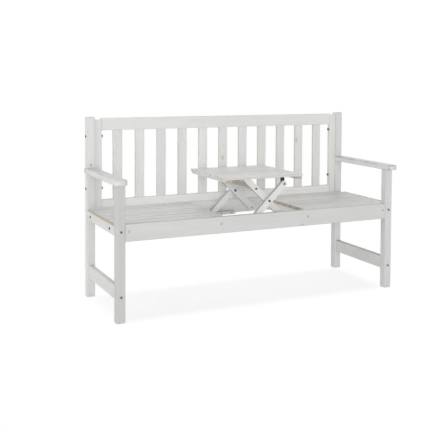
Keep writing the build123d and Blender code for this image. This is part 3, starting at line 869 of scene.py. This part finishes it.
def screw_shape(seat, outward):
    """A wood screw's head with a cross recess, and a short stem in the wood below it.

    Over the head the height is crown (1 - r^2 / R^2), less the recess depth inside the two crossed bars.
    """
    hardware = bpy.context.scene.bench_hardware
    radius = hardware.screw_radius
    angles = angles_round(SCREW_SIDES)
    rows = np.array(SCREW_ROWS)[:, None]
    across = np.abs(rows * np.cos(angles))
    along = np.abs(rows * np.sin(angles))
    in_bar = (np.minimum(across, along) < BAR_WIDTH) & (rows < BAR_REACH)
    crown = hardware.screw_crown * (1 - rows ** 2) - hardware.screw_recess * in_bar
    foot = np.full((1, SCREW_SIDES), -STEM_LENGTH * radius)
    seat_rows = np.zeros((2, SCREW_SIDES))
    stem = np.full((2, SCREW_SIDES), STEM_RADIUS * radius)
    head = np.repeat(rows * radius, SCREW_SIDES, axis=1)
    heights = np.vstack((foot, seat_rows, crown[1:]))
    return turned_shape(heights, np.vstack((stem, head)), seat, outward, STEEL)


class BENCH_OT_side_frames(bpy.types.Operator):
    """Glazes the legs, posts, armrests, rails and stretchers"""

    bl_idname = "bench.side_frames"
    bl_label = "Side frames"

    def execute(self, context):
        leg_tones = {"left": 0.82, "right": 0.94}
        post_tones = {"left": 1.03, "right": 0.99}
        arm_tones = {"left": 1.0, "right": 0.98}
        # Armrests: painted shade, strongest on the right away from the light, and edge wear.
        arm_wear_and_shade = {"left": 0.2, "right": 0.95}
        arm_top_shade = 0.3
        # Painted shade on the stretchers' tops and edges below the seat, strongest on the right.
        stretcher_shade = {"left": 0.1, "right": 0.85}
        shifts = {"left": (0.0, 0.013, 0.021), "right": (0.83, 0.013, 0.021)}
        post_shifts = {"left": (0.9, 0.0, 0.0), "right": (1.31, 0.0, 0.0)}
        low_tone = 0.98
        for side in SIDES:
            shift = shifts[side]
            leg = board_material(f"Glazed leg {side}", ALONG_Z, shift, leg_tones[side])
            finish([f"front_leg_{side}"], leg)
            post = board_material(f"Glazed post {side}", ALONG_Z, post_shifts[side], post_tones[side])
            finish([f"rear_post_{side}"], post)
            armrest = board_material(
                f"Glazed armrest {side}", ALONG_Y, shift, arm_tones[side], narrow=(0, 0, 1),
                thin=arm_top_shade * arm_wear_and_shade[side], edges=arm_wear_and_shade[side], shade_greyed=True,
            )
            finish([f"armrest_{side}"], armrest)
            node = f"side_rail_{side}"
            rail = board_material(f"Glazed side rail {side}", ALONG_Y, shift, low_tone, joint=("y", node))
            finish([node], rail)
            node = f"side_stretcher_{side}"
            stretcher = board_material(
                f"Glazed stretcher {side}", ALONG_Y, shift, low_tone, joint=("y", node), narrow=(0, 0, 1),
                thin=stretcher_shade[side], edges=stretcher_shade[side], shade_greyed=True,
            )
            finish([node], stretcher)
        return {"FINISHED"}


class BENCH_OT_seat(bpy.types.Operator):
    """Glazes the aprons, the bearers and the seat slats, which are sawn bare at their ends"""

    bl_idname = "bench.seat"
    bl_label = "Seat"

    def execute(self, context):
        front_apron = board_material(
            "Glazed apron", ALONG_X, shift=(0.0, 0.03, 0.017), tone=0.925, joint=("xz", "front_apron")
        )
        finish(["front_apron"], front_apron)
        # Tone 1.12 is painted light, lifting the rear apron's inner face from the table's shade.
        rear_apron = board_material("Glazed rear apron", ALONG_X, shift=(1.6, 0.01, 0.0), tone=1.12)
        finish(["rear_apron"], rear_apron)
        bearer = board_material("Glazed bearer", ALONG_Y, shift=(0.9, 0.0, 0.0), tone=0.97)
        finish(both("end_bearer", "middle_bearer"), bearer)
        shifts = {"left": (0.0, 0.0, 0.0), "right": (1.3, 0.0, 0.0)}
        tones = {"left": 1.07, "right": 1.02}
        # The right seat's end lines are wider and darker: painted shade along the ends of its slats.
        end_lines = {"left": (1.0, 0.3), "right": (7.0, 0.85)}
        # Painted shade on the seat slats' sides at the gaps, stronger on the right seat.
        gap_shade = {"left": 0.08, "right": 0.4}
        for side in SIDES:
            node = f"seat_slats_{side}"
            slats = board_material(
                f"Glazed seat slats {side}", ALONG_X, shifts[side], tones[side], row=("y", TABLE_SLATS),
                joint=("x", node), line=end_lines[side], bare=0.9, narrow=(0, 1, 0), thin=gap_shade[side],
            )
            finish([node], slats)
        return {"FINISHED"}


class BENCH_OT_backrest(bpy.types.Operator):
    """Glazes the stiles, rails and upright slats of the backrest"""

    bl_idname = "bench.backrest"
    bl_label = "Backrest"

    def execute(self, context):
        top_rail = board_material(
            "Glazed top rail", ALONG_X, shift=(2.1, 0.0, 0.0), tone=1.09, joint=("x", "back_top_rail")
        )
        finish(["back_top_rail"], top_rail)
        # Tone 1.16 is painted light, lifting the bottom rail, which sits in shade above the seat.
        bottom_rail = board_material(
            "Glazed bottom rail", ALONG_X, shift=(3.1, 0.0, 0.0), tone=1.16,
            joint=("xz", "back_bottom_rail"),
        )
        finish(["back_bottom_rail"], bottom_rail)
        stile = board_material("Glazed back stile", ALONG_Z, shift=(0.8, 0.02, 0.0), tone=1.06)
        finish(both("back_stile"), stile)
        slats = board_material(
            "Glazed back slats", ALONG_Z, shift=(0.6, 0.085, 0.05), tone=1.10, row=("x", BACK_SLATS),
            narrow=(0, 0, 1), knots=1.0,
        )
        finish(BACK_SLATS, slats)
        return {"FINISHED"}


class BENCH_OT_table(bpy.types.Operator):
    """Glazes the table's slats and battens, which are sawn bare at their ends"""

    bl_idname = "bench.table"
    bl_label = "Table"

    def execute(self, context):
        slats = board_material(
            "Glazed table slats", ALONG_X, shift=(3.3, 0.0, 0.0), tone=1.08, row=("y", TABLE_SLATS),
            bare=0.44, narrow=(0, 1, 0), thin=0.35,
        )
        finish(TABLE_SLATS, slats)
        battens = board_material("Glazed table batten", ALONG_Y, shift=(1.1, 0.0, 0.0), bare=0.9)
        finish(both("table_batten"), battens)
        return {"FINISHED"}


class BENCH_OT_scissors(bpy.types.Operator):
    """Glazes the arms that lift the table, their spreader and the ledgers that they stand on"""

    bl_idname = "bench.scissors"
    bl_label = "Scissors"

    def execute(self, context):
        # Painted shade: grey on the arms' narrow edge faces, and on their eased edges wear.
        edge_shade = {"narrow": (0, 0, 1), "thin": 0.6, "shade_greyed": True}
        lift_arm = board_material("Glazed lift arm", ALONG_LIFT_ARM, tone=1.05, **edge_shade)
        finish(["front_lift_arm", "rear_lift_arm"], lift_arm)
        cross_arm = board_material("Glazed cross arm", ALONG_CROSS_ARM, tone=1.10, **edge_shade)
        finish(["front_cross_arm", "rear_cross_arm"], cross_arm)
        finish(["arm_spreader"], board_material("Glazed spreader", ALONG_Y, shift=(0.4, 0.0, 0.0)))
        ledger = board_material("Glazed ledger", ALONG_X, shift=(0.7, 0.0, 0.0))
        finish(["slide_ledger_front", "slide_ledger_rear"], ledger)
        return {"FINISHED"}


class BENCH_OT_plain_hardware(bpy.types.Operator):
    """Finishes the bushes and washers in bright zinc and the brackets in black paint"""

    bl_idname = "bench.plain_hardware"
    bl_label = "Bushes, washers and brackets"

    def execute(self, context):
        finish(["pivot_bushes", "crossing_washers"], hardware_materials()[BRIGHT])
        black = context.scene.bench_hardware.bracket
        paint = metal_material("Black painted steel", black, metallic=0.0, roughness=0.55, patina=0.8)
        finish(["table_brackets"], paint)
        return {"FINISHED"}


class BENCH_OT_bolts(bpy.types.Operator):
    """Makes button-head bolts with sockets, and nuts with their corners taken off, for the plain ones"""

    bl_idname = "bench.bolts"
    bl_label = "Bolts and nuts"

    def execute(self, context):
        for node in frame["nodes"]:
            if node.endswith("_bolts"):
                shapes = [self.finished_bolt(node, plain_bolt(solid)) for solid in solids_of(node)]
            elif node.endswith("_nuts"):
                shapes = [nut_shape(solid) for solid in solids_of(node)]
            else:
                continue
            piece = new_piece(f"{node}_turned", shapes, BODY_OF[node])
            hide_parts(node)
        return {"FINISHED"}

    def finished_bolt(self, node, bolt):
        """A turned bolt: bright at base pivots and in aprons, blued at the sides and at crossings."""
        bright_reach = {"base_pivot_bolts": cad_box[1].x, "frame_bolts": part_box("front_leg_right")[0].x}
        looks_sideways = bolt.outward[1] == 0.0
        if looks_sideways or node == "crossing_bolts":
            return bolt_shape(bolt, BLUED, SHADED)
        if abs(bolt.seat[0]) < bright_reach.get(node, 0.0):
            return bolt_shape(bolt, BRIGHT, BRIGHT)
        return bolt_shape(bolt, STEEL, SHADED)


class BENCH_OT_screws(bpy.types.Operator):
    """Adds the wood screws of the left post, the ledgers and the battens"""

    bl_idname = "bench.screws"
    bl_label = "Wood screws"

    def execute(self, context):
        hardware = context.scene.bench_hardware
        low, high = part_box("rear_post_left")
        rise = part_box("armrest_left")[1].z + hardware.post_screw_rise
        post_screw = screw_shape(((low.x + high.x) / 2, low.y, rise), FRONTWARDS)
        new_piece("post_screw", [post_screw], "bench")

        ledger_screws = []
        for end, face, outward in (("front", 1, REARWARDS), ("rear", 0, FRONTWARDS)):
            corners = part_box(f"slide_ledger_{end}")
            height = (corners[0].z + corners[1].z) / 2
            for count in range(LEDGER_SCREWS):
                along = corners[1].x - hardware.ledger_screw_inset - count * hardware.ledger_screw_pitch
                ledger_screws.append(screw_shape((along, corners[face].y, height), outward))
        new_piece("ledger_screws", ledger_screws, "bench")

        batten_screws = []
        for side in SIDES:
            low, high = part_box(f"table_batten_{side}")
            for slat in TABLE_SLATS:
                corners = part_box(slat)
                seat = ((low.x + high.x) / 2, (corners[0].y + corners[1].y) / 2, low.z)
                batten_screws.append(screw_shape(seat, DOWNWARDS))
        new_piece("batten_screws", batten_screws, "table")
        return {"FINISHED"}


def white_where_seen(tree):
    """1 for rays that show a background: those of the camera, of gloss and of glass."""
    rays = add_node(tree, "ShaderNodeLightPath").outputs
    seen = arithmetic(tree, "MAXIMUM", rays["Is Camera Ray"], rays["Is Glossy Ray"])
    return arithmetic(tree, "MAXIMUM", seen, rays["Is Transmission Ray"])


class BENCH_OT_studio(bpy.types.Operator):
    """Sets up the pale floor, the soft light and the camera"""

    bl_idname = "bench.studio"
    bl_label = "Studio"

    def execute(self, context):
        studio = context.scene.bench_studio
        self.lay_floor(context, studio)
        self.light(context, studio)
        self.set_camera(context, studio)
        context.scene.view_settings.view_transform = "Standard"
        return {"FINISHED"}

    def lay_floor(self, context, studio):
        """A square floor below the feet, part plain white as it is seen, and all plain white further out."""
        half = studio.floor_size / 2
        corners = [(-half, -half, 0), (half, -half, 0), (half, half, 0), (-half, half, 0)]
        mesh = bpy.data.meshes.new("studio_floor")
        mesh.from_pydata(corners, [], [(0, 1, 2, 3)])
        floor = bpy.data.objects.new("studio_floor", mesh)
        context.scene.collection.objects.link(floor)
        material, tree = new_material("Pale floor")
        tree.nodes.clear()
        matt = add_node(tree, "ShaderNodeBsdfDiffuse", {"Color": rgba(studio.floor)}).outputs[0]
        white = add_node(tree, "ShaderNodeEmission", {"Color": WHITE, "Strength": 1.0}).outputs[0]
        coordinates = add_node(tree, "ShaderNodeTexCoord").outputs["Object"]
        size = vector_arithmetic(tree, "ABSOLUTE", coordinates)
        beyond = vector_arithmetic(tree, "SUBTRACT", size, cad_box[1])
        distance = arithmetic(tree, "MAXIMUM", part_of(tree, beyond, "x"), part_of(tree, beyond, "y"))
        lift = ramp(tree, distance, -studio.fade_width, 0.0, studio.floor_lift, 1.0)
        shown = arithmetic(tree, "MULTIPLY", white_where_seen(tree), lift)
        surface = add_node(tree, "ShaderNodeMixShader", {0: shown, 1: matt, 2: white}).outputs[0]
        add_node(tree, "ShaderNodeOutputMaterial", {"Surface": surface})
        mesh.materials.append(material)

    def light(self, context, studio):
        """Even light from a white world, and large soft lights from the camera's side, the left and the rear.

        A lamp's power is its level times pi squared times its distance squared, so that a level of 1 lights a
        face turned to the lamp as a white world would.
        """
        world = bpy.data.worlds.new("White studio")
        context.scene.world = world
        world.use_nodes = True
        tree = world.node_tree
        tree.nodes.clear()
        inputs = {"Color": WHITE, "Strength": studio.ambient}
        even = add_node(tree, "ShaderNodeBackground", inputs).outputs[0]
        white = add_node(tree, "ShaderNodeBackground", {"Color": WHITE, "Strength": 1.0}).outputs[0]
        inputs = {0: white_where_seen(tree), 1: even, 2: white}
        shown = add_node(tree, "ShaderNodeMixShader", inputs).outputs[0]
        add_node(tree, "ShaderNodeOutputWorld", {"Surface": shown})
        middle = (cad_box[0] + cad_box[1]) / 2
        for name in ("front", "left", "rear"):
            spot = Vector(getattr(studio, f"{name}_place"))
            way = middle - spot
            lamp = bpy.data.lights.new(f"{name}_light", "AREA")
            lamp.shape = "RECTANGLE"
            lamp.size = getattr(studio, f"{name}_spread") * way.length
            lamp.size_y = lamp.size * LAMP_HEIGHT
            lamp.energy = getattr(studio, f"{name}_light") * (math.pi * way.length) ** 2
            light = bpy.data.objects.new(f"{name}_light", lamp)
            context.scene.collection.objects.link(light)
            light.visible_camera = False
            turn = way.to_track_quat("-Z", "Y").to_matrix().to_4x4()
            light.matrix_world = Matrix.Translation(spot) @ turn

    def set_camera(self, context, studio):
        """The camera looks along heading and tilt, with the image moved across and up by the shifts."""
        lens = bpy.data.cameras.new("photograph")
        lens.lens = studio.lens
        lens.shift_x = studio.shift_x
        lens.shift_y = studio.shift_y
        camera = bpy.data.objects.new("photograph", lens)
        context.scene.collection.objects.link(camera)
        turn = Matrix.Rotation(-studio.heading, 4, "Z")
        lift = Matrix.Rotation(math.pi / 2 + studio.tilt, 4, "X")
        roll = Matrix.Rotation(studio.roll, 4, "Z")
        camera.matrix_world = Matrix.Translation(studio.camera_place) @ turn @ lift @ roll
        context.scene.camera = camera


OPERATORS = (
    BENCH_OT_side_frames,
    BENCH_OT_seat,
    BENCH_OT_backrest,
    BENCH_OT_table,
    BENCH_OT_scissors,
    BENCH_OT_plain_hardware,
    BENCH_OT_bolts,
    BENCH_OT_screws,
    BENCH_OT_studio,
)
SETTINGS = {"bench_glaze": BenchGlaze, "bench_hardware": BenchHardware, "bench_studio": BenchStudio}


class BENCH_PT_finish(bpy.types.Panel):
    """Lists the steps of the finish and their settings"""

    bl_idname = "BENCH_PT_finish"
    bl_label = "Bench finish"
    bl_space_type = "VIEW_3D"
    bl_region_type = "UI"
    bl_category = "Bench"

    def draw(self, context):
        layout = self.layout
        for step in OPERATORS:
            layout.operator(step.bl_idname)
        for group_name, group in SETTINGS.items():
            box = layout.box()
            for name in group.__annotations__:
                box.prop(getattr(context.scene, group_name), name)


CLASSES = (*SETTINGS.values(), *OPERATORS, BENCH_PT_finish)


def register():
    """Registers the classes and hangs the settings on the scene."""
    for one in CLASSES:
        bpy.utils.register_class(one)
    for name, group in SETTINGS.items():
        setattr(bpy.types.Scene, name, PointerProperty(type=group))


def unregister():
    """Takes the settings off the scene and unregisters the classes."""
    for name in SETTINGS:
        delattr(bpy.types.Scene, name)
    for one in reversed(CLASSES):
        bpy.utils.unregister_class(one)


def main():
    """Runs every step in order."""
    register()
    for step in OPERATORS:
        family, step_name = step.bl_idname.split(".")
        getattr(getattr(bpy.ops, family), step_name)()


if __name__ == "__main__":
    main()
